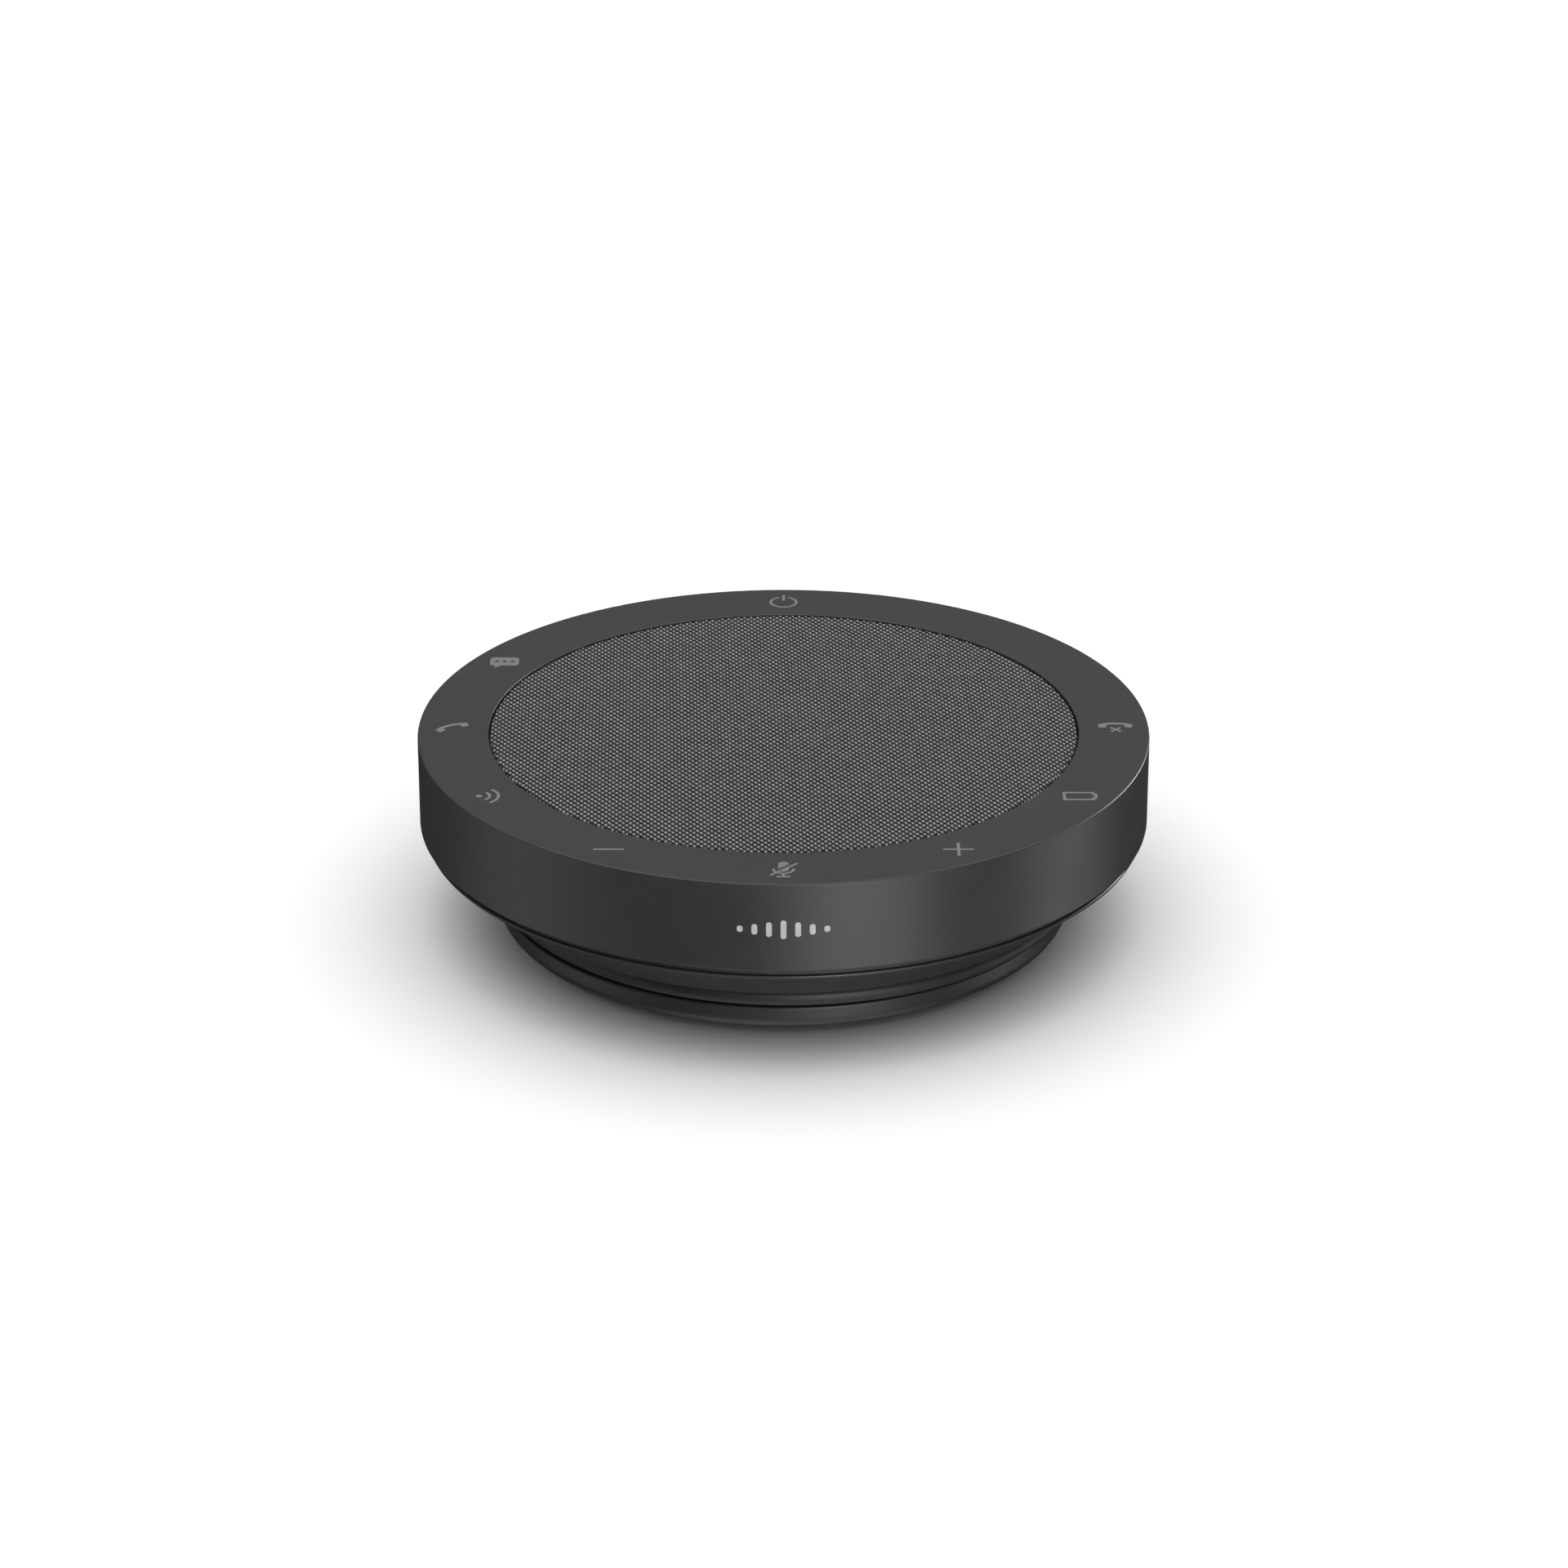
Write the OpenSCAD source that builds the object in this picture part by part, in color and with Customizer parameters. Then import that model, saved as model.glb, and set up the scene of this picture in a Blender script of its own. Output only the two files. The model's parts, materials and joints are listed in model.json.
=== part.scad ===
// Round conference speakerphone: touch icons on a ring around a fabric grille, one driver
// facing up, and a captive USB-C lead wound in a groove round the foot.
// Origin: centre of the foot's underside. +Z is up, -Y is the front, with the mute icon.

/* [Body] */
// Diameter of the casing
body_d = 120; // [119:0.5:121]
// Height from the table to the top face
body_h = 33.1; // [33:0.05:33.3]
// Height of the upright band of the upper casing
band_h = 15; // [14.8:0.1:15.1]
// Shadow gap between the two casings
seam_h = 1.1; // [0.9:0.1:1.2]
// Diameter of the lower casing where its undercut ends
undercut_d = 100; // [99.5:0.5:100.5]

/* [Grille] */
// Diameter of the opening in the top face
grille_d = 96.8; // [96.4:0.1:97]
// Thickness of the woven fabric
fabric_t = 0.55; // [0.4:0.05:0.6]
// Diameter of the holes in the plate under the fabric
grille_hole_d = 5.6; // [4:0.2:6]

/* [Controls] */
// Radius of the ring that the icons are centred on
icon_ring_r = 54.5; // [54:0.1:55]
// Width of an icon's lines
icon_line = 0.48; // [0.4:0.02:0.6]
// Depth of the icon inlays
icon_depth = 0.35; // [0.3:0.05:0.6]

/* [Foot and lead] */
// Diameter of the rubber foot
foot_d = 86; // [80:0.5:87]
// Height of the foot below the base plate
foot_h = 1.4; // [1.2:0.1:1.5]
// Diameter of the base plate's lip
lip_d = 95.3; // [95:0.1:95.6]
// Height of the groove that the lead is wound in
groove_h = 3.6; // [3.5:0.05:3.7]
// Diameter of the lead
lead_d = 3.2; // [3:0.05:3.3]
// Distance between neighbouring turns of the lead
lead_pitch = 3.4; // [3.35:0.01:3.45]

/* [Driver] */
// Largest travel of the cone, each way
stroke = 1.2; // [0.5:0.1:1.3]
// Radius of the voice coil's inside
coil_r = 10.4; // [10.3:0.05:10.45]

/* [Battery] */
// Length, width and thickness of the battery pack
battery_size = [52, 34, 7]; // [6:0.5:53]

/* [Hidden] */
$fn = 96;
eps = 0.01;

// Levels, upwards from the table
z_top = body_h;
z_bezel = z_top - 1.7;
z_ledge = z_bezel - 1.4;
z_seam_hi = z_top - band_h;
z_seam_lo = z_seam_hi - seam_h;
z_base = foot_h;
z_floor = z_base + 2;
z_base_seat = z_base + 1.9;
z_lip = z_base + 4.3;
z_groove = z_lip + groove_h;
z_deck = z_groove + 2;
z_board = z_deck + 3.2;
board_t = 1.6;
z_chassis = z_top - 7.6;
chassis_t = 2;
z_mount = z_chassis + chassis_t;
z_touch = z_ledge - 0.6;
z_guide = z_touch + 1.1;
z_chamber = z_deck + 1.1;

// Radii
body_r = body_d / 2;
wall = 2;
grille_r = grille_d / 2;
plate_r = grille_r - 0.5;
ledge_r = grille_r - 1.8;
undercut_r = undercut_d / 2;
rim_r = body_r - 0.8;
tongue_r = body_r - 2.4;
tongue_t = 1.4;
lip_r = lip_d / 2;
foot_r = foot_d / 2;
chamber_r = 36.4;
board_r = [37.8, 51];
touch_r = [50.3, 57.6];

// Screws: shank radius, head radius and head height
screw_shank = 0.85;
screw_head = [1.8, 1.3];
edge_screws = [for (i = [0:5]) 15 + 60 * i];
edge_screw_r = 53.8;
corner_angles = [45, 135, 225, 315];
corner_r = 44;
ear_angles = [0, 90, 180, 270];
ear_r = 38.6;
driver_screw_r = 27.6;
base_screws_xy = [[31, 0], [-31, 0], [0, -29.5], [-14, 19]];

// Angles of the wiring, anticlockwise from +X
ribbon_at = -15;
terminals_at = -70;
battery_leads_at = -11;
harness_at = 58;

// Driver levels and radii
flange_r = 29.8;
z_flange = z_mount + 0.5;
z_seat = z_flange + 1;
basket_r = 25.2;
yoke_r = 13.5;
z_yoke = z_chamber + 1.9;
yoke_h = 7;
z_gap_top = z_yoke + yoke_h;
gap_r = [9.6, 11.6];
coil_t = 0.55;
coil_h = 3.6;
z_coil = z_gap_top - 0.95 - coil_h / 2;
z_cone_in = z_gap_top + 2.2 + stroke;
z_cone_out = z_cone_in + 3;
cone_r = 20.9;
z_spider = z_gap_top + 0.8;

// Lead: its height, the neck it is wound on, and where it ends
lead_r = lead_d / 2;
z_lead = (z_lip + z_groove) / 2;
neck_r = 37.2;
neck_flat = 25;
neck_wall = 1.8;
neck_gap = [-9, 9];
exit_start = [12, 20];
exit_slope = 0.364;
exit_bend_x = -3;
exit_end_x = -11;
wind_r = neck_r + 1.3;
wind_flat = neck_flat + lead_r + 0.1;
wind_first = 0.075;
wind_last = 2.905;
wind_step = 1 / 45;
tail_x = 15;
plug_y = 41.8;
plug_l = 18;
plug_w = 10.5;
plug_h = 5.5;
shell_size = [6.65, 8.34, 2.56];
dock_x = [-18, 17];
dock_y = 36.6;

// Icon angles, anticlockwise from +X
power_at = 90;
meeting_at = 150;
call_at = 180;
wireless_at = 210;
volume_down_at = 240;
mute_at = 270;
volume_up_at = 300;
battery_at = 330;
end_call_at = 0;
icon_angles = [power_at, meeting_at, call_at, wireless_at, volume_down_at, mute_at, volume_up_at,
  battery_at, end_call_at];

// Front badge: heights of its bars, and their width and spacing
badge_bars = [1.1, 1.8, 2.5, 3.2, 2.5, 1.8, 1.1];
badge_bar_w = 0.9;
badge_pitch = 2.25;
badge_depth = 0.25;
z_badge = z_seam_hi + 7.3;

casing_c = [0.24, 0.24, 0.25];
rubber_c = [0.1, 0.1, 0.11];
inner_c = [0.16, 0.16, 0.17];
icon_c = [0.72, 0.72, 0.72];
steel_c = [0.75, 0.76, 0.78];
board_c = [0.05, 0.3, 0.16];
chip_c = [0.08, 0.08, 0.09];
copper_c = [0.8, 0.45, 0.25];

// ---- Helpers ----

// Points on an arc about c, from angle a0 to a1
function arc(c, r, a0, a1, n = 5) =
  [for (i = [0:n]) c + r * [cos(a0 + (a1 - a0) * i / n), sin(a0 + (a1 - a0) * i / n)]];

module disc(r, z, h) {
  translate([0, 0, z]) cylinder(r = r, h = h);
}

module ring(r_out, r_in, z, h) {
  translate([0, 0, z]) difference() {
    cylinder(r = r_out, h = h);
    translate([0, 0, -1]) cylinder(r = r_in, h = h + 2);
  }
}

module around(angles, r) {
  for (a = angles) rotate(a) translate([r, 0, 0]) children();
}

// A block centred on the X and Y axes, standing on z
module block(size, z) {
  translate([-size[0] / 2, -size[1] / 2, z]) cube(size);
}

// A screw with its head at z, and its shank on the other side of it (dir = 1 is up)
module screw(z, length, dir = 1) {
  head_z = dir > 0 ? z - screw_head[1] : z;
  difference() {
    translate([0, 0, head_z]) cylinder(r = screw_head[0], h = screw_head[1]);
    translate([0, 0, dir > 0 ? head_z - 1 : z + 0.6]) cylinder(r = 0.8, h = 1.7, $fn = 6);
  }
  translate([0, 0, dir > 0 ? z : z - length]) cylinder(r = screw_shank, h = length);
}

// A rectangle with rounded corners, centred
module rounded_rect(w, h, r) {
  square([w - 2 * r, h], center = true);
  square([w, h - 2 * r], center = true);
  for (x = [-1, 1], y = [-1, 1]) translate([x * (w / 2 - r), y * (h / 2 - r)]) circle(r = r);
}

// ---- Icons: 2-D outlines, centred, upright as seen from the front ----

module wedge(a0, a1, r) {
  polygon(concat([[0, 0]], arc([0, 0], r, a0, a1)));
}

module arc_line(r, a0, a1, w = icon_line) {
  intersection() {
    difference() {
      circle(r = r + w / 2);
      circle(r = r - w / 2);
    }
    wedge(a0, a1, 2 * r + 2);
  }
}

module power_outline() {
  translate([0, -0.4]) {
    arc_line(2.24, 110, 430);
    translate([-icon_line / 2, 0.7]) square([icon_line, 2.5]);
  }
}

module minus_outline() {
  square([4.8, icon_line], center = true);
}

module plus_outline() {
  minus_outline();
  square([icon_line, 4.8], center = true);
}

// A microphone on its stand, struck through
module mute_outline() {
  module slash(l, w) {
    rotate(45.5) square([l, w], center = true);
  }
  difference() {
    union() {
      translate([0, 1.95]) circle(r = 0.83);
      translate([-0.83, 0.05]) square([1.66, 1.9]);
      translate([0, 0.05]) circle(r = 0.83);
      translate([0, 0.1]) arc_line(1.56, 175, 365, 0.44);
      translate([-0.22, -2.5]) square([0.44, 1]);
      translate([-1.05, -2.85]) square([2.1, 0.5]);
    }
    translate([0, 0.62]) slash(2.9, 0.5);
  }
  translate([0.04, 0.02]) slash(6.1, 0.44);
}

module battery_outline() {
  module case_shape(grow) {
    translate([-0.15, 0]) square([4.62 + grow, 2.6 + grow], center = true);
    translate([2.06, 0]) square([1 + grow, 1.3 + grow], center = true);
  }
  difference() {
    case_shape(icon_line);
    case_shape(-icon_line);
  }
}

// A telephone handset, arched upwards
module handset_outline() {
  grip_r = 5.6;
  translate([0, -grip_r]) arc_line(grip_r, 66, 114, 0.72);
  for (side = [-1, 1]) translate([side * 2.17, -0.95]) rotate(side * -7) square([1.25, 1.35], center = true);
}

module answer_outline() {
  translate([-0.35, 0.75]) rotate(30) handset_outline();
}

module end_call_outline() {
  translate([0, 1.53]) handset_outline();
  for (a = [-45, 45]) translate([0, -0.95]) rotate(a) square([2.35, 0.45], center = true);
}

// Waves spreading from a dot
module wireless_outline() {
  translate([-1.3, 0]) {
    circle(r = 0.5);
    for (i = [1:2]) arc_line(0.3 + 1.4 * i, -54, 54);
  }
}

// A speech bubble with three dots
module meeting_outline() {
  difference() {
    union() {
      translate([0, 0.4]) rounded_rect(4.9, 3.5, 0.8);
      polygon([[-1.7, -1], [-0.1, -1], [-1.5, -2.3]]);
    }
    for (x = [-1.3, 0, 1.3]) translate([x, 0.4]) circle(r = 0.36);
  }
}

module icon_at(angle, depth = icon_depth) {
  translate([icon_ring_r * cos(angle), icon_ring_r * sin(angle), z_top - depth])
    linear_extrude(depth) children();
}

module all_icons(depth) {
  icon_at(power_at, depth) power_outline();
  icon_at(meeting_at, depth) meeting_outline();
  icon_at(call_at, depth) answer_outline();
  icon_at(wireless_at, depth) wireless_outline();
  icon_at(volume_down_at, depth) minus_outline();
  icon_at(mute_at, depth) mute_outline();
  icon_at(volume_up_at, depth) plus_outline();
  icon_at(battery_at, depth) battery_outline();
  icon_at(end_call_at, depth) end_call_outline();
}

// ---- Casing and controls ----

module bar_windows() {
  for (i = [0:len(badge_bars) - 1]) {
    x = (i - (len(badge_bars) - 1) / 2) * badge_pitch;
    translate([x, 0, z_badge]) rotate([90, 0, 0]) linear_extrude(body_r + 1)
      rounded_rect(badge_bar_w, badge_bars[i], badge_bar_w / 2 - eps);
  }
}

module front_badge() {
  color(icon_c) intersection() {
    ring(body_r, body_r - badge_depth, z_badge - 3, 6);
    bar_windows();
  }
}

module upper_housing() {
  color(casing_c) difference() {
    union() {
      rotate_extrude() polygon(concat(
        [[body_r - wall, z_seam_hi]],
        arc([body_r - 0.3, z_seam_hi + 0.3], 0.3, -90, 0),
        arc([body_r - 0.3, z_top - 0.3], 0.3, 0, 90),
        arc([grille_r + 0.2, z_top - 0.2], 0.2, 90, 180),
        [[grille_r, z_bezel], [ledge_r, z_bezel], [ledge_r, z_ledge], [touch_r[0] - 0.3, z_ledge],
          [touch_r[0] - 0.3, z_bezel], [body_r - wall, z_bezel]]));
      around(edge_screws, edge_screw_r) disc(2.4, z_mount, z_bezel - z_mount + eps);
    }
    around(edge_screws, edge_screw_r) disc(screw_shank, z_mount - 1, 4.2);
    all_icons(icon_depth);
    front_badge();
  }
}

module icon_power() {
  color(icon_c) icon_at(power_at) power_outline();
}

module icon_meeting() {
  color(icon_c) icon_at(meeting_at) meeting_outline();
}

module icon_answer() {
  color(icon_c) icon_at(call_at) answer_outline();
}

module icon_wireless() {
  color(icon_c) icon_at(wireless_at) wireless_outline();
}

module icon_volume_down() {
  color(icon_c) icon_at(volume_down_at) minus_outline();
}

module icon_mute() {
  color(icon_c) icon_at(mute_at) mute_outline();
}

module icon_volume_up() {
  color(icon_c) icon_at(volume_up_at) plus_outline();
}

module icon_battery() {
  color(icon_c) icon_at(battery_at) battery_outline();
}

module icon_end_call() {
  color(icon_c) icon_at(end_call_at) end_call_outline();
}

// ---- Grille ----

module grille_fabric() {
  color([0.45, 0.45, 0.44]) disc(grille_r - 0.25, z_top - fabric_t - 0.05, fabric_t);
}

module grille_plate() {
  plate_z = z_bezel;
  plate_t = z_top - fabric_t - 0.05 - plate_z;
  pitch = 8.2;
  color(steel_c) difference() {
    disc(plate_r, plate_z, plate_t);
    for (row = [-5:5], col = [0:10 - abs(row)])
      translate([(col - (10 - abs(row)) / 2) * pitch, row * pitch * sqrt(3) / 2, plate_z - 1])
        cylinder(d = grille_hole_d, h = plate_t + 2);
  }
}

// ---- Light guide, touch board and microphones ----

module light_guide() {
  color([0.85, 0.87, 0.9]) difference() {
    ring(touch_r[1] - 0.2, touch_r[0] + 0.3, z_guide, z_bezel - z_guide);
    around(edge_screws, edge_screw_r) disc(2.6, z_guide - 1, 4);
    around(icon_angles, icon_ring_r) block([1.9, 2.6, 4], z_guide - 1);
  }
}

module status_leds() {
  color([0.95, 0.93, 0.8]) around(icon_angles, icon_ring_r) block([1.25, 2, 0.7], z_touch + 1);
}

module touch_board() {
  color(board_c) difference() {
    ring(touch_r[1], touch_r[0], z_touch, 1);
    around(edge_screws, edge_screw_r) disc(2.7, z_touch - 1, 3);
  }
}

module touch_controller() {
  color(chip_c) rotate(40) translate([53.9, 0, 0]) block([5, 5, 0.9], z_touch - 0.9);
}

module microphones() {
  around(corner_angles, 40) {
    color(board_c) disc(3.6, z_mount, 0.8);
    color(steel_c) block([3.5, 2.65, 1], z_mount + 0.8);
  }
}

module mic_boots() {
  color(rubber_c) around(corner_angles, 40) difference() {
    disc(3.6, z_mount + 0.8, z_bezel - z_mount - 0.8);
    block([3.5, 2.65, 2], z_mount - 0.2);
    disc(0.5, z_mount, 10);
  }
}

// ---- Chassis ----

module chassis() {
  color(inner_c) difference() {
    union() {
      ring(tongue_r + 0.1, basket_r + 0.4, z_chassis, chassis_t);
      ring(flange_r + 1.6, flange_r + 0.3, z_mount - eps, 1.2);
      around(corner_angles, corner_r) disc(3.2, z_board + board_t, z_chassis - z_board - board_t + eps);
      for (a = [0:30:330]) rotate(a) translate([flange_r + 1, -0.6, z_mount - eps]) cube([5.6, 1.2, 0.9]);
    }
    around(corner_angles, corner_r) disc(screw_shank, z_board, 8);
    around(edge_screws, edge_screw_r) disc(screw_shank + 0.15, z_chassis - 1, 4);
    around(corner_angles, driver_screw_r) disc(screw_shank, z_chassis - 1, 5);
    around(ear_angles, ear_r) disc(screw_shank, z_chassis - 1, 5);
    rotate(ribbon_at) translate([48.4, -6, z_chassis - 1]) cube([2, 12, 5]);
  }
}

module chassis_screws() {
  color(steel_c) around(edge_screws, edge_screw_r) screw(z_chassis, 5);
}

// ---- Driver ----

module driver_gasket() {
  color(rubber_c) difference() {
    ring(flange_r - 0.6, basket_r + 0.4, z_mount, 0.5);
    around(corner_angles, driver_screw_r) disc(1.2, z_mount - 1, 3);
  }
}

module driver_frame() {
  color([0.3, 0.3, 0.31]) difference() {
    rotate_extrude() polygon([
      [flange_r, z_flange], [flange_r, z_seat], [basket_r - 0.8, z_seat],
      [basket_r - 0.8, z_seat - 2.7], [19.2, z_spider], [12, z_spider], [12, z_gap_top],
      [19.6, z_gap_top], [basket_r, z_seat - 3.1], [basket_r, z_flange]]);
    for (a = [0:60:300]) rotate(a) translate([19.9, -4.2, z_spider + 0.3]) cube([4.1, 8.4, 3.9]);
    around(corner_angles, driver_screw_r) disc(screw_shank, z_flange - 1, 3);
  }
}

module driver_yoke() {
  color(steel_c) difference() {
    disc(yoke_r, z_yoke, yoke_h);
    disc(gap_r[1], z_yoke + 1.8, yoke_h);
  }
}

module driver_magnet() {
  color([0.6, 0.6, 0.63]) disc(gap_r[0] - 0.3, z_yoke + 1.8, yoke_h - 3.7);
}

module pole_piece() {
  color(steel_c) disc(gap_r[0], z_gap_top - 1.9, 1.9);
}

module driver_terminals() {
  rotate(terminals_at) translate([23.6, 0, 0]) {
    color(chip_c) block([3.3, 8, 1], z_spider - 0.2);
    color(copper_c) for (y = [-1.6, 1.6]) translate([0, y, 0]) block([2.4, 1.4, 0.5], z_spider + 0.8);
  }
}

// Folded cloth ring from the basket's shelf up to the voice coil former
module spider() {
  folds = 4;
  z_low = z_spider;
  span = [18.4, coil_r + 0.9];
  rise = 2;
  function point(i) = [span[0] + (span[1] - span[0]) * i / (2 * folds),
    z_low + rise * i / (2 * folds) + (i % 2 == 1 ? 0.35 : 0)];
  outline = [for (i = [0:2 * folds]) point(i)];
  color([0.75, 0.6, 0.3]) rotate_extrude() polygon(concat(
    [[19.1, z_low]], outline, [[coil_r, z_low + rise], [coil_r, z_low + rise + 0.2]],
    [for (i = [2 * folds:-1:0]) point(i) + [0, 0.2]], [[19.1, z_low + 0.2]]));
}

// Rubber half roll from the flange down to the cone's edge
module surround() {
  t = 0.3;
  roll = [22.6, z_seat + 0.1];
  color(rubber_c) rotate_extrude() polygon(concat(
    [[25.6, z_seat], [25.6, z_seat + t]],
    arc(roll, 1.7, 0, 180, 12),
    [[cone_r, z_cone_out + 0.3], [cone_r - 1, z_cone_out], [cone_r, z_cone_out],
      [cone_r + t, z_cone_out + 0.2]],
    arc(roll, 1.7 - t, 180, 0, 12),
    [[roll[0] + 1.7 - t, z_seat]]));
}

module cone() {
  t = 0.4;
  color([0.12, 0.12, 0.13]) rotate_extrude() polygon([[coil_r, z_cone_in - t], [cone_r, z_cone_out - t],
    [cone_r, z_cone_out], [cone_r - 1, z_cone_out], [coil_r, z_cone_in]]);
}

module dust_cap() {
  dome_r = 20;
  cap_r = coil_r + 0.6;
  z_centre = z_cone_in + 0.2 - sqrt(dome_r * dome_r - cap_r * cap_r);
  color([0.15, 0.15, 0.16]) intersection() {
    difference() {
      translate([0, 0, z_centre]) sphere(r = dome_r);
      translate([0, 0, z_centre]) sphere(r = dome_r - 0.4);
    }
    disc(cap_r, z_cone_in + 0.2, 5);
  }
}

module coil_former() {
  color([0.85, 0.75, 0.5]) ring(coil_r, coil_r - 0.3, z_coil, z_cone_in - z_coil);
}

module voice_coil() {
  color(copper_c) ring(coil_r + coil_t, coil_r, z_coil, coil_h);
}

module driver_screws() {
  color(steel_c) around(corner_angles, driver_screw_r) screw(z_seat, 3.4, -1);
}

module speaker_wires() {
  wire_r = 0.5;
  z_wire = z_spider + 0.6;
  r_end = chamber_r + 0.7;
  rotate(terminals_at) for (y = [-1.6, 1.6]) translate([0, y, 0]) color(y < 0 ? "firebrick" : "black") {
    translate([25.25, 0, z_wire - 0.2]) rotate([0, 90, 0]) cylinder(r = wire_r, h = r_end - 25.25);
    translate([r_end, 0, z_wire - 0.2]) sphere(r = wire_r);
    translate([r_end, 0, z_board + 2.7]) cylinder(r = wire_r, h = z_wire - z_board - 2.9);
    translate([r_end, 0, z_board + 2.7]) sphere(r = wire_r);
    translate([r_end, 0, z_board + 2.7]) rotate([0, 90, 0]) cylinder(r = wire_r, h = 1.2);
  }
}

module speaker_chamber() {
  t = 1.5;
  color(inner_c) difference() {
    union() {
      disc(chamber_r, z_chamber, z_chassis - z_chamber);
      around(ear_angles, ear_r) disc(3, z_chassis - 1.6, 1.6);
    }
    disc(chamber_r - t, z_chamber + t, 20);
    around(ear_angles, ear_r) disc(screw_shank + 0.15, z_chassis - 3, 5);
    rotate(terminals_at) for (y = [-1.6, 1.6]) translate([30, y, z_spider + 0.4]) rotate([0, 90, 0])
      cylinder(r = 0.6, h = 10);
  }
}

module chamber_screws() {
  color(steel_c) around(ear_angles, ear_r) screw(z_chassis - 1.6, 3.4);
}

// ---- Electronics ----

module main_board() {
  color(board_c) difference() {
    ring(board_r[1], board_r[0], z_board, board_t);
    around(corner_angles, corner_r) disc(screw_shank + 0.3, z_board - 1, 4);
  }
}

module on_board(angle, r = 44.6) {
  rotate(angle) translate([r, 0, 0]) children();
}

module main_processor() {
  color(chip_c) on_board(172) block([8.5, 8.5, 1.1], z_board + board_t);
}

module wireless_module() {
  on_board(205) {
    color(steel_c) block([9, 12, 1.8], z_board + board_t);
    color(board_c) translate([0, 8.2, 0]) block([9, 4, 0.6], z_board + board_t);
  }
}

module audio_amplifier() {
  on_board(-95) {
    color(chip_c) block([5, 5, 1], z_board + board_t);
    color([0.3, 0.3, 0.32]) for (y = [-6.5, 6.5]) translate([0, y, 0])
      block([4.5, 4.5, 2.4], z_board + board_t);
  }
}

module power_parts() {
  color(chip_c) on_board(12) block([4, 4, 0.9], z_board + board_t);
  color([0.3, 0.3, 0.32]) on_board(22) block([6, 6, 2.8], z_board + board_t);
  color([0.7, 0.7, 0.72]) for (a = [70:10:120]) on_board(a, 46) disc(2, z_board + board_t, 4.2);
}

// Sockets for the ribbon, the driver, the battery and the lead
module board_connectors() {
  color([0.9, 0.88, 0.8]) {
    on_board(ribbon_at, 47.6) block([3, 11, 1.6], z_board + board_t);
    on_board(terminals_at, 40.4) block([4.2, 6.4, 2.2], z_board + board_t);
    on_board(battery_leads_at, 40.4) block([4.2, 5, 2.2], z_board + board_t);
    on_board(harness_at, 40.4) block([4.2, 5.5, 2.2], z_board + board_t);
  }
  color([0.9, 0.88, 0.8]) on_board(ribbon_at, 53) block([3, 9.6, 1], z_touch - 1);
}

// Flat ribbon from the touch board down through the chassis to the main board
module ribbon_cable() {
  t = 0.25;
  r_drop = 49.3;
  z_upper = z_touch - 0.6;
  z_lower = z_board + board_t + 0.8;
  color([0.85, 0.5, 0.15]) rotate(ribbon_at) translate([0, 5, 0]) rotate([90, 0, 0]) linear_extrude(10)
    polygon([[51.5, z_upper], [r_drop + 0.6, z_upper], [r_drop, z_upper - 0.6], [r_drop, z_lower],
      [49.1, z_lower], [49.1, z_lower - t], [r_drop + t, z_lower - t], [r_drop + t, z_upper - 0.7],
      [r_drop + 0.7, z_upper - t], [51.5, z_upper - t]]);
}

module battery_pack() {
  color([0.2, 0.35, 0.6]) translate([0, -3, z_floor + 0.5 + battery_size[2] / 2]) rotate([0, 90, 0])
    translate([0, 0, -battery_size[0] / 2]) linear_extrude(battery_size[0])
      rounded_rect(battery_size[2], battery_size[1], 1.5);
}

module battery_foam() {
  z_above = z_floor + 0.5 + battery_size[2];
  color([0.3, 0.3, 0.3]) translate([0, -3, 0]) {
    block([44, 28, 0.5], z_floor);
    block([40, 28, z_chamber - z_above], z_above);
  }
}

module battery_leads() {
  wire_r = 0.45;
  z_run = (z_deck + z_chamber) / 2;
  r_end = chamber_r + 0.65;
  r_start = battery_size[0] / 2 + 1.2;
  z_start = z_groove + 0.6;
  z_end = z_board + 2.7;
  rotate(battery_leads_at) for (y = [-0.8, 0.8]) translate([0, y, 0]) color(y < 0 ? "black" : "firebrick") {
    translate([r_start, 0, z_start]) sphere(r = wire_r);
    translate([r_start, 0, z_start]) cylinder(r = wire_r, h = z_run - z_start);
    translate([r_start, 0, z_run]) sphere(r = wire_r);
    translate([r_start, 0, z_run]) rotate([0, 90, 0]) cylinder(r = wire_r, h = r_end - r_start);
    translate([r_end, 0, z_run]) sphere(r = wire_r);
    translate([r_end, 0, z_run]) cylinder(r = wire_r, h = z_end - z_run);
    translate([r_end, 0, z_end]) sphere(r = wire_r);
    translate([r_end, 0, z_end]) rotate([0, 90, 0]) cylinder(r = wire_r, h = 1.2);
  }
}

// ---- Lower casing ----

module plug_pocket(z, h) {
  translate([dock_x[0], dock_y, z]) cube([dock_x[1] - dock_x[0], 30, h]);
}

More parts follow.
